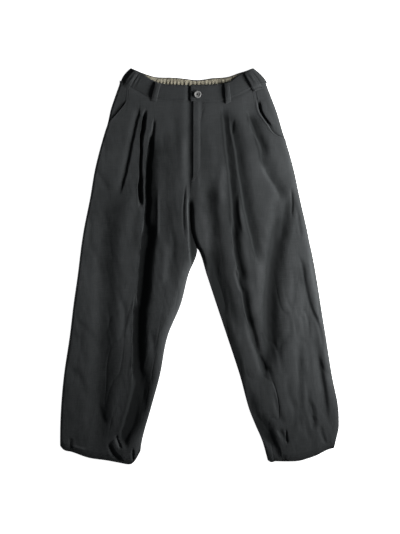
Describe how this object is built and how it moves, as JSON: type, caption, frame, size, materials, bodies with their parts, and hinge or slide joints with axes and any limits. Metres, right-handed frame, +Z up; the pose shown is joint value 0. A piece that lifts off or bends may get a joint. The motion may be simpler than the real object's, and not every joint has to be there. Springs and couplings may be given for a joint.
{
  "type": "pleated wide-leg trousers",
  "caption": "Pleated wide-leg trousers in charcoal linen with a part-elastic waistband, laid flat front side up.",
  "frame": {"origin": "on the surface the trousers lie on, below the middle of their outline", "axes": "+Y from the hems to the waist, +X to the right as seen from above, +Z up and away from the surface"},
  "size_m": [0.66, 0.938, 0.0148],
  "materials": {
    "linen": "matt charcoal linen with a plain weave",
    "facing": "cream printed cotton with short rose-brown dashes",
    "button": "grey satin button"
  },
  "bodies": {
    "root": {"front_left": "linen", "front_right": "linen", "back_left": "linen", "back_right": "linen", "hip_left": "linen", "hip_right": "linen", "band_left": "linen", "band_right": "linen", "band_back": "linen", "band_facing": "facing", "loop_front_left": "linen", "loop_front_right": "linen", "loop_side_left": "linen", "loop_side_right": "linen", "loop_back": "linen", "hem_tuck_left": "linen", "hem_tuck_right": "linen", "button": "button"}
  },
  "joints": []
}
